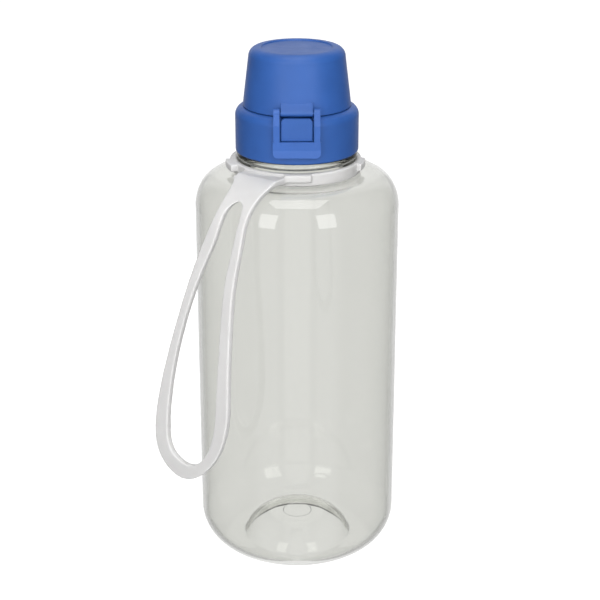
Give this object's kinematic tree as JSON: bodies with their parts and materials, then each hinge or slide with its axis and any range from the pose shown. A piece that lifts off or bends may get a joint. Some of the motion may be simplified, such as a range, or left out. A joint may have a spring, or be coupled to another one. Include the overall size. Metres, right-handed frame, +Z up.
{
  "type": "drinking bottle",
  "caption": "Clear bottle with a screw collar, a latched flip-up cap over a push-pull spout, and a moulded carry strap that swivels on its neck.",
  "frame": {"origin": "centre of the foot ring, on the plane the bottle stands on", "axes": "+Z up along the bottle axis, the latch at the front towards -Y, the cap's hinge at the back towards +Y, +X to the right seen from the front"},
  "size_m": [0.0861, 0.087, 0.188],
  "materials": {
    "clear_plastic": "clear, glossy",
    "silicone": "translucent white, matt",
    "blue_plastic": "blue, fine satin",
    "pin_steel": "bright",
    "white_plastic": "white, satin",
    "soft_white": "milky white, satin",
    "blue_plastic_latch": "blue, fine satin",
    "strap_plastic": "milky translucent white, satin"
  },
  "bodies": {
    "bottle_body": {"bottle": "clear_plastic"},
    "lift_body": {"neck_gasket": "silicone"},
    "closure_body": {"screw_collar": "blue_plastic", "hinge_pin": "pin_steel", "spout_insert": "white_plastic", "nozzle_o_ring": "silicone", "vent_valve": "silicone"},
    "cap_body": {"flip_cap": "blue_plastic", "cap_plug": "silicone"},
    "latch_body": {"latch_clip": "blue_plastic_latch"},
    "nozzle_body": {"spout_nozzle": "soft_white"},
    "ring_body": {"strap_ring": "strap_plastic"},
    "loop_body": {"strap_loop": "strap_plastic"}
  },
  "joints": [
    {"name": "closure_lift", "type": "slide", "parent": "bottle_body", "child": "lift_body", "axis": [0, 0, 1], "range_m": [0, 0.045]},
    {"name": "closure_turn", "type": "hinge", "parent": "lift_body", "child": "closure_body", "pos_m": [0, 0, 0.158], "axis": [0, 0, 1], "range_deg": [0, 2701]},
    {"name": "cap_flip", "type": "hinge", "parent": "closure_body", "child": "cap_body", "pos_m": [0, 0.0229, 0.1678], "axis": [-1, 0, 0], "range_deg": [0, 135]},
    {"name": "latch_pivot", "type": "hinge", "parent": "cap_body", "child": "latch_body", "pos_m": [0, -0.0204, 0.1695], "axis": [-1, 0, 0], "range_deg": [0, 60]},
    {"name": "spout_pull", "type": "slide", "parent": "closure_body", "child": "nozzle_body", "axis": [0, 0, 1], "range_m": [0, 0.0045]},
    {"name": "strap_swivel", "type": "hinge", "parent": "bottle_body", "child": "ring_body", "pos_m": [0, 0, 0.1469], "axis": [0, 0, 1], "continuous": true},
    {"name": "strap_lift", "type": "hinge", "parent": "ring_body", "child": "loop_body", "pos_m": [-0.01558, -0.01994, 0.1469], "axis": [-0.788, 0.6157, 0], "range_deg": [0, 100]}
  ],
  "couplings": [
    {"joint": "closure_turn", "follows": "closure_lift", "rad_per_m": 1047.2}
  ]
}
